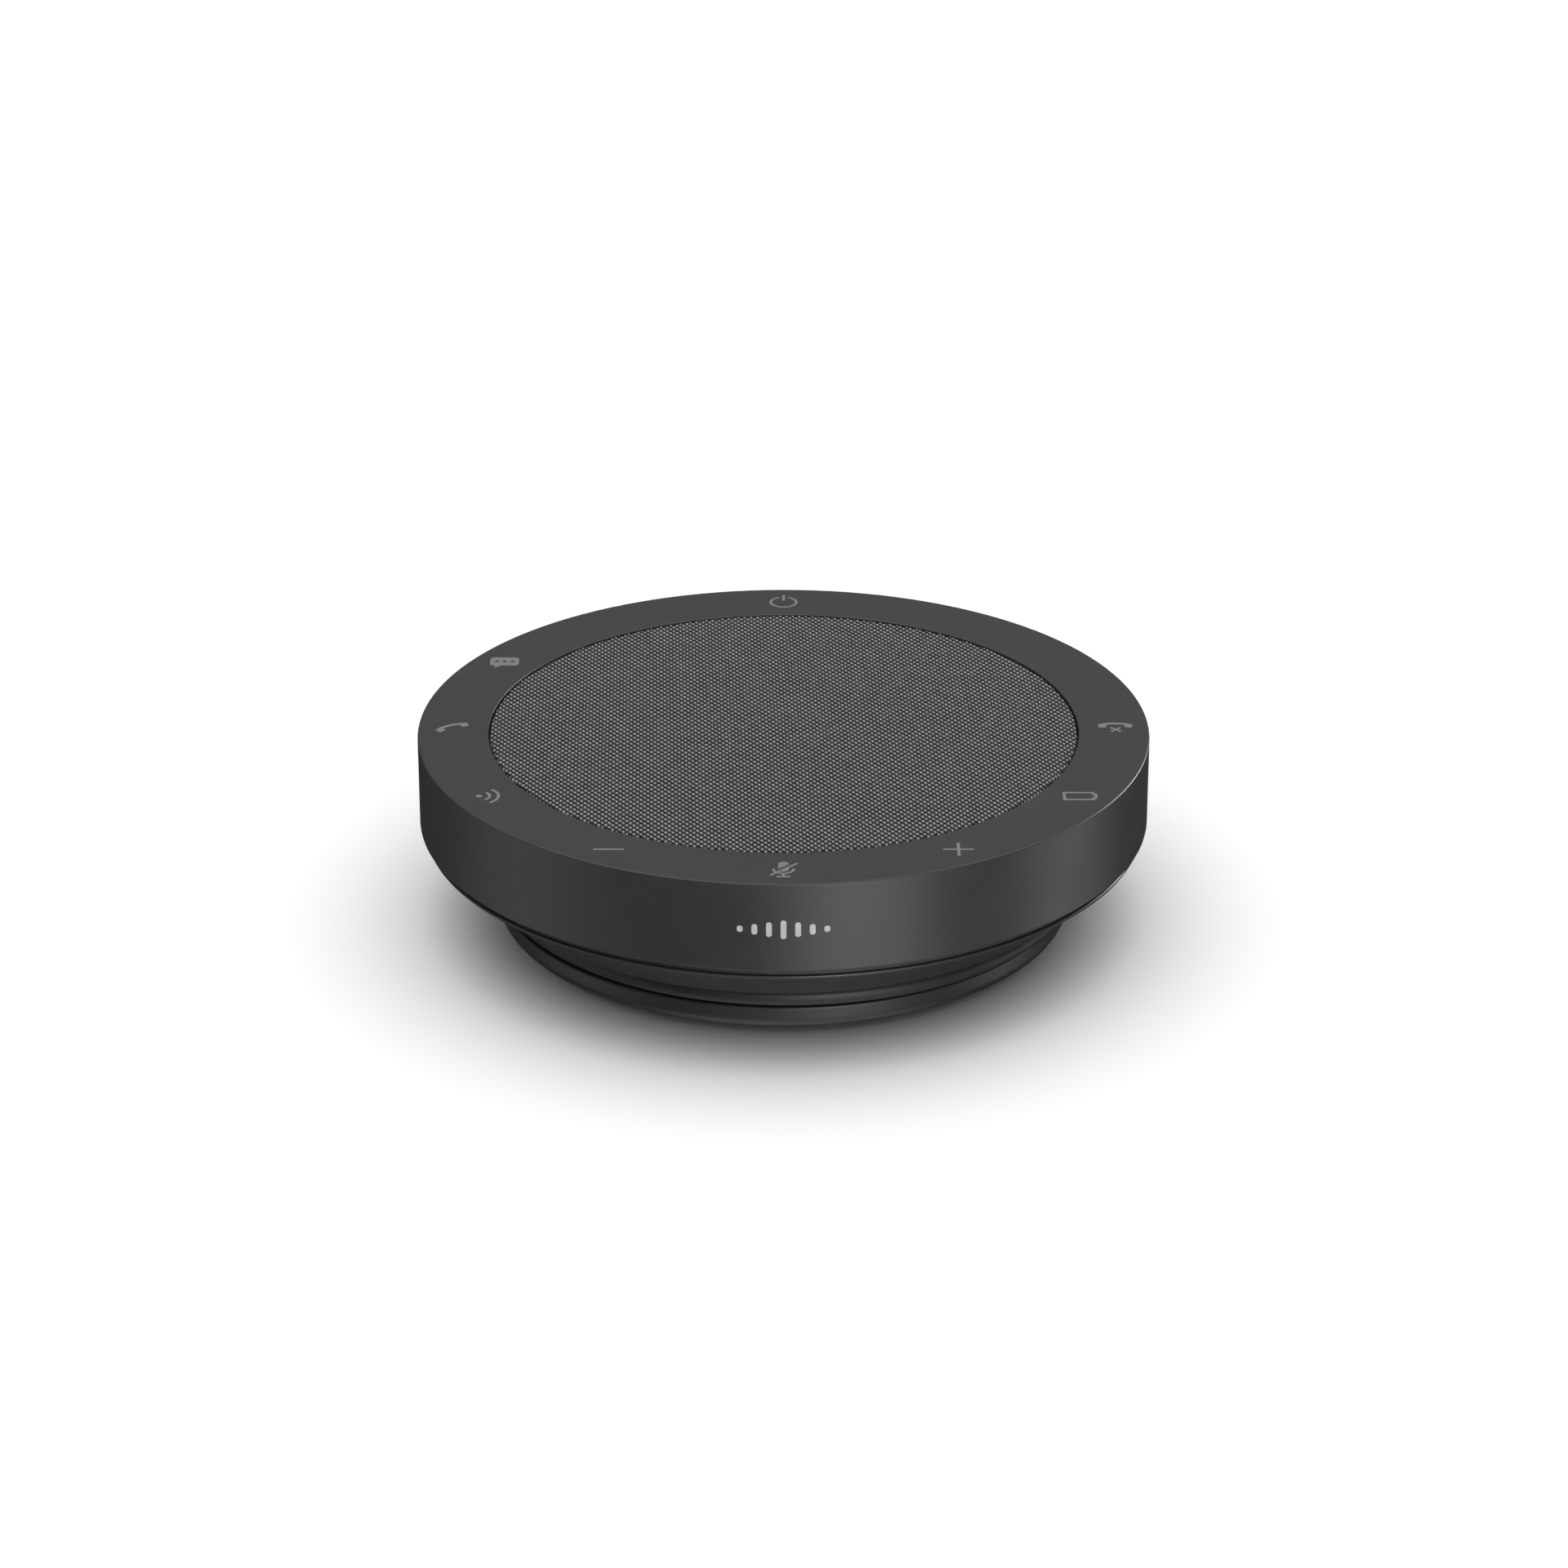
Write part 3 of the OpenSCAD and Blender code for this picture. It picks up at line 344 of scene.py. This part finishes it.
def revolved(outline, sides=192):
    """Points and faces of a closed outline of (radius, z) turned about Z."""
    turn = np.linspace(0, TAU, sides, endpoint=False)
    points = [[r * c, r * s, z] for r, z in outline for c, s in zip(np.cos(turn), np.sin(turn))]
    return points, grid_faces(len(outline), sides, wrap=True, close=True)

def arc(centre, r, a0, a1, steps):
    """Points of an arc about centre from angle a0 to a1, in degrees."""
    angles = [math.radians(a0 + (a1 - a0) * i / steps) for i in range(steps + 1)]
    return [(centre[0] + r * math.cos(a), centre[1] + r * math.sin(a)) for a in angles]

# ---------------------------------------------------------------- grille fabric

CLOTH_SINK = 0.08              # mm from the CAD fabric's top down to the weave's middle
EDGE_ROUND, EDGE_DROP = 0.2, 0.62    # mm: the turned edge's radius, and how far down it goes
WEAVE_POINTS = (3, 4)          # points along one turn of each diagonal
MARGIN = 4                     # points beyond the edge

def grille_fabric():
    """A stretched disc of cloth. Its weave is real relief, and its edge turns down into the gap."""
    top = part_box("grille_fabric")[1]
    radius = top.x / MM
    turn_r = radius - EDGE_ROUND
    diagonals = np.array([WEAVE_U, WEAVE_V])
    reach = [int(radius * np.hypot(*turns) * n) + MARGIN for turns, n in zip(diagonals, WEAVE_POINTS)]
    u, v = np.meshgrid(*[np.arange(-count, count + 1) / n for count, n in zip(reach, WEAVE_POINTS)])
    x, y = np.tensordot(np.linalg.inv(diagonals), np.stack([u, v]), 1)
    r = np.hypot(x, y)
    over = np.clip(r - turn_r, 0, EDGE_DROP)
    z = top.z / MM - CLOTH_SINK + WEAVE_RISE * weave_height(x, y) - over
    rim = turn_r + EDGE_ROUND * np.sin(over / EDGE_DROP * math.pi / 2)
    scale = np.where(r > turn_r, rim / np.maximum(r, turn_r), 1)
    points = np.stack([x * scale, y * scale, z], -1).reshape(-1, 3)
    inside = (r < turn_r + EDGE_DROP).reshape(-1)
    faces = [face for face in grid_faces(*x.shape) if any(inside[corner] for corner in face)]
    used = sorted({corner for face in faces for corner in face})
    number = {corner: i for i, corner in enumerate(used)}
    faces = [tuple(number[corner] for corner in face) for face in faces]
    piece = make_piece("woven_grille", points[used], faces, "woven_fabric", "housing")
    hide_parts("grille_fabric")

grille_fabric()

# ---------------------------------------------------------------- lead

LEAD_R, LEAD_Z = 1.6, 7.5              # mm: its radius and the height of its centre
EXIT_X, EXIT_Y = 12, 20                # mm: where it starts, inside the neck
EXIT_SLOPE = 0.364                     # how its straight start slopes
BEND_X, EXIT_END_X = -3, -11           # mm: where it starts to bend, and where it is level
WIND_R, WIND_FLAT = 38.5, 26.7         # mm: the winding's radius, and its flat's distance
PITCH = 3.4                            # mm from turn to turn
DOCK_TURN, DOCK_SHIFT = 2.5, 5.0       # past this turn the flat steps out to the plug, by mm
BLEND = 20                             # how sharply the circle turns into the flat
FIRST_TURN, LAST_TURN = 0.075, 2.905   # turns from the rear
TURN_POINTS = 180                      # points in a turn
TAIL_X, PLUG_Y = 15, 41.8              # mm: where it enters the plug's boot
TAIL_RUN = 3.5                         # mm: the straight run before the boot

def wind_point(u):
    """The lead's centre after u turns from the rear, in mm: a circle cut by a straight run."""
    r = WIND_R + PITCH * u
    run = WIND_FLAT + PITCH * u + (DOCK_SHIFT if u > DOCK_TURN else 0)
    reach = ((1 / r) ** BLEND + (max(math.cos(TAU * u), 0) / run) ** BLEND) ** (-1 / BLEND)
    return [-reach * math.sin(TAU * u), reach * math.cos(TAU * u), LEAD_Z]

def exit_y(x):
    """The lead's way out of the neck: straight as far as BEND_X, then bending till it is level."""
    bent = max(BEND_X - x, 0)
    straight = EXIT_Y + EXIT_SLOPE * (EXIT_X - max(x, BEND_X))
    return straight + EXIT_SLOPE * (bent - bent ** 2 / (2 * (BEND_X - EXIT_END_X)))

def lead_route():
    way_out = [[x, exit_y(x), LEAD_Z] for x in range(EXIT_X, EXIT_END_X + 2, -1)]
    turns = [wind_point(u) for u in np.arange(FIRST_TURN, LAST_TURN, 1 / TURN_POINTS)]
    return way_out + turns + [[TAIL_X + TAIL_RUN, PLUG_Y, LEAD_Z], [TAIL_X, PLUG_Y, LEAD_Z]]

def usb_lead(route):
    curve = bpy.data.curves.new("usb_cable", "CURVE")
    curve.dimensions = "3D"
    curve.bevel_depth = LEAD_R * MM
    curve.bevel_resolution = 6
    curve.use_fill_caps = True
    spline = curve.splines.new("POLY")
    spline.points.add(len(route) - 1)
    for point, place in zip(spline.points, route):
        point.co = (*[c * MM for c in place], 1)
    spline.use_smooth = True
    curve.materials.append(MATERIALS["lead_jacket"])
    piece = new_object("usb_cable", curve)
    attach(piece, "housing")
    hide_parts("usb_lead")
    return piece

route = lead_route()
lead = usb_lead(route)

# ---------------------------------------------------------------- plug

GRIP_WIDTH, GRIP_HEIGHT, GRIP_CORNER = 10.5, 5.5, 2.0    # mm

def rounded_outline(width, height, corner, count=48):
    """A rounded rectangle's outline, count points round it, in the (y, z) plane."""
    out = []
    for k in range(count):
        angle = TAU * (k + 0.5) / count
        side_y, side_z = [(1, 1), (-1, 1), (-1, -1), (1, -1)][int(angle // (math.pi / 2))]
        out.append((side_y * (width / 2 - corner) + corner * math.cos(angle),
                    side_z * (height / 2 - corner) + corner * math.sin(angle)))
    return out

def loft(sections):
    """Points and faces of a closed tube through sections of (x, [(y, z), ...])."""
    count = len(sections[0][1])
    points = [(x, y, z) for x, outline in sections for y, z in outline]
    faces = grid_faces(len(sections), count, wrap=True)
    faces.append(tuple(range(count - 1, -1, -1)))
    faces.append(tuple(range(len(points) - count, len(points))))
    return points, faces

def plug_body():
    """Overmoulded grip with rounded ends, fine finger ridges, and a slotted boot on the lead."""
    end = [(-9.0, 0.9), (-8.9, 0.45), (-8.6, 0.15), (-8.1, 0.0)]      # x and inset of the rounded end
    groove = [(-0.45, 0), (-0.3, 0.16), (0.3, 0.16), (0.45, 0)]       # across a groove between ridges
    slot = [(-0.2, 0), (-0.12, 0.35), (0.28, 0.35), (0.36, 0)]        # across a slot of the boot
    first_groove, groove_pitch, grooves = -4.6, 1.6, 6
    first_slot, slot_pitch, slots = 10.3, 1.15, 4
    sections = []
    def put(x, width, height, corner):
        outline = [(PLUG_Y + y, LEAD_Z + z) for y, z in rounded_outline(width, height, corner)]
        sections.append((x, outline))
    def put_grip(x, inset, corner):
        put(x, GRIP_WIDTH - 2 * inset, GRIP_HEIGHT - 2 * inset, corner)
    for x, inset in end:
        put_grip(x, inset, GRIP_CORNER - 0.5 * inset)
    for i in range(grooves):
        for dx, inset in groove:
            put_grip(first_groove + groove_pitch * i + dx, inset, GRIP_CORNER)
    for t in np.linspace(0, 1, 9):
        s = t * t * (3 - 2 * t)                                # the shoulder's smooth step
        put(7.0 + 2.6 * t, GRIP_WIDTH - 5.3 * s, GRIP_HEIGHT - 0.3 * s, GRIP_CORNER + 0.55 * s)
    for i in range(slots):
        for dx, inset in slot:
            r = 2.5 - 0.14 * i - inset                         # the boot gets thinner
            put(first_slot + slot_pitch * i + dx, 2 * r, 2 * r, r - 0.01)
    put(TAIL_X, 3.8, 3.8, 1.89)
    points, faces = loft(sections)
    piece = make_piece("plug_grip", points, faces, "lead_jacket", "housing")
    piece.data.set_sharp_from_angle(angle=math.radians(40))
    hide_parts("plug_body")
    return piece

grip = plug_body()

# ---------------------------------------------------------------- driver's moving seals

CONE_R, CONE_OUT = 20.9, 27.7          # mm: the cone's edge and its height
SEAT_Z = 29.0                          # mm: the basket's flange
COIL_R, SPIDER_Z = 10.4, 22.1          # mm: the former, and the basket's shelf

def surround():
    """Rubber half roll: it bends from the cone's edge up to the basket's flange."""
    thick, centre, roll_r = 0.3, (22.6, SEAT_Z + 0.1), 1.7
    outline = [(25.6, SEAT_Z), (25.6, SEAT_Z + thick)]
    outline += arc(centre, roll_r, 0, 180, 28)
    outline += [(CONE_R + 0.03, 28.6), (CONE_R, CONE_OUT + 0.35), (CONE_R - 1, CONE_OUT + 0.02),
                (CONE_R, CONE_OUT), (CONE_R + thick, CONE_OUT + 0.2)]
    outline += arc(centre, roll_r - thick, 180, 0, 28)
    outline += [(centre[0] + roll_r - thick, SEAT_Z)]
    points, faces = revolved(outline)
    piece = make_piece("rubber_surround", points, faces, "soft_rubber")
    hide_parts("surround")
    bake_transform(piece)

def spider():
    """Corrugated cloth ring: it bends from the voice coil former out to the basket's shelf."""
    thick, rise, folds, depth, steps = 0.2, 2.0, 4, 0.35, 64
    shelf_r, outer, inner = 19.1, 18.4, COIL_R + 0.9
    line = []
    for i in range(steps + 1):
        t = i / steps
        fold = depth / 2 * (1 - math.cos(TAU * folds * t))
        line.append((outer + (inner - outer) * t, SPIDER_Z + rise * t + fold))
    outline = [(shelf_r, SPIDER_Z)] + line + [(COIL_R, SPIDER_Z + rise), (COIL_R, SPIDER_Z + rise + thick)]
    outline += [(r, z + thick) for r, z in reversed(line)] + [(shelf_r, SPIDER_Z + thick)]
    points, faces = revolved(outline)
    piece = make_piece("cloth_spider", points, faces, "spider_cloth")
    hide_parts("spider")
    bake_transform(piece)

surround()
spider()

# ---------------------------------------------------------------- floor and backdrop

def floor():
    """A matt white floor that the object stands on and throws its shadow on."""
    size = 6.0
    mesh = bpy.data.meshes.new("floor")
    mesh.from_pydata([(-size, -size, 0), (size, -size, 0), (size, size, 0), (-size, size, 0)], [],
                     [(0, 1, 2, 3)])
    material, tree, shader, place = start("floor_white")
    tones = ramp(tree, noise(tree, place, 3.0), [(0.3, 0.90), (0.7, 0.91)])
    tree.links.new(tones, shader.inputs["Base Color"])
    set_values(shader, Roughness=1.0, Specular_IOR_Level=0.0)
    mesh.materials.append(material)
    piece = new_object("floor", mesh)
    piece.visible_glossy = False

def backdrop():
    """A white wall far round the floor, for level views. Only the camera sees it."""
    count, radius, bottom, height = 64, 5.0, -0.05, 2.0
    turn = np.linspace(0, TAU, count, endpoint=False)
    low = np.stack([radius * np.cos(turn), radius * np.sin(turn), np.full(count, bottom)], 1)
    mesh = bpy.data.meshes.new("backdrop")
    mesh.from_pydata([tuple(p) for p in np.vstack([low, low + [0, 0, height]])], [],
                     grid_faces(2, count, wrap=True))
    material, _, shader, _ = start("backdrop_white")
    set_values(shader, Base_Color=(0, 0, 0, 1), Specular_IOR_Level=0.0, Emission_Color=(1, 1, 1, 1),
               Emission_Strength=1.0)
    mesh.materials.append(material)
    piece = new_object("backdrop", mesh)
    piece.visible_diffuse = False
    piece.visible_glossy = False
    piece.visible_shadow = False

# ---------------------------------------------------------------- light

LIGHT_TARGET = Vector((0, 0, 0.02))    # m
SOFTBOX_DISTANCE = 1.3                 # m
SKY_LOW, SKY_HIGH = 0.04, 0.62         # the sky's level at the horizon and overhead
# Glows below the horizon, which the walls reflect: azimuth, elevation and width in degrees, and level
GLOWS = [(24, -18, 20, 4.2), (94, -18, 17, 2.2), (-84, -18, 24, 0.75), (12, -70, 34, 1.2)]
GLOW_CORE, GLOW_EDGE = 0.4, 1.3        # shares of the width: full inside the first, none past the second

def direction(azimuth, elevation):
    """The way from the object to a light, in degrees; azimuth 0 is the front, 90 the right side."""
    a, e = math.radians(azimuth), math.radians(elevation)
    return Vector((math.sin(a) * math.cos(e), -math.cos(a) * math.cos(e), math.sin(e)))

def sky():
    """The world's light: brighter overhead, with soft glows below the horizon."""
    world = bpy.data.worlds.new("studio")
    bpy.context.scene.world = world
    world.use_nodes = True
    tree = world.node_tree
    way = add(tree, "ShaderNodeTexCoord").outputs["Generated"]
    up = add(tree, "ShaderNodeSeparateXYZ", {"Vector": way}).outputs["Z"]
    total = map_range(tree, up, 0.0, 1.0, SKY_LOW, SKY_HIGH)
    for azimuth, elevation, width, level in GLOWS:
        near = add(tree, "ShaderNodeVectorMath", {0: way, 1: direction(azimuth, elevation)},
                   operation="DOT_PRODUCT")
        edge, core = [math.cos(math.radians(width * share)) for share in (GLOW_EDGE, GLOW_CORE)]
        glow = map_range(tree, near.outputs["Value"], edge, core, 0.0, level, "SMOOTHSTEP")
        total = math_node(tree, "ADD", total, glow)
    tree.links.new(total, tree.nodes["Background"].inputs["Color"])

def overhead():
    """Broad light straight from above. It makes the soft shadow."""
    data = bpy.data.lights.new("overhead", "SUN")
    data.angle = math.radians(84)
    data.energy = 2.35
    new_object("overhead", data)

def softbox(name, azimuth, elevation, size, power):
    """A rectangular light aimed at the object. It gives reflections, and no diffuse light."""
    data = bpy.data.lights.new(name, "AREA")
    data.shape = "RECTANGLE"
    data.size, data.size_y = size
    data.energy = power
    light = new_object(name, data)
    look(light, SOFTBOX_DISTANCE * direction(azimuth, elevation), LIGHT_TARGET)
    light.visible_diffuse = False

floor()
backdrop()
sky()
overhead()
softbox("front_light", 16, 8, (0.14, 0.30), 9)
softbox("rim_light", 130, 17, (0.30, 0.22), 11)
bpy.context.scene.view_settings.view_transform = "Standard"
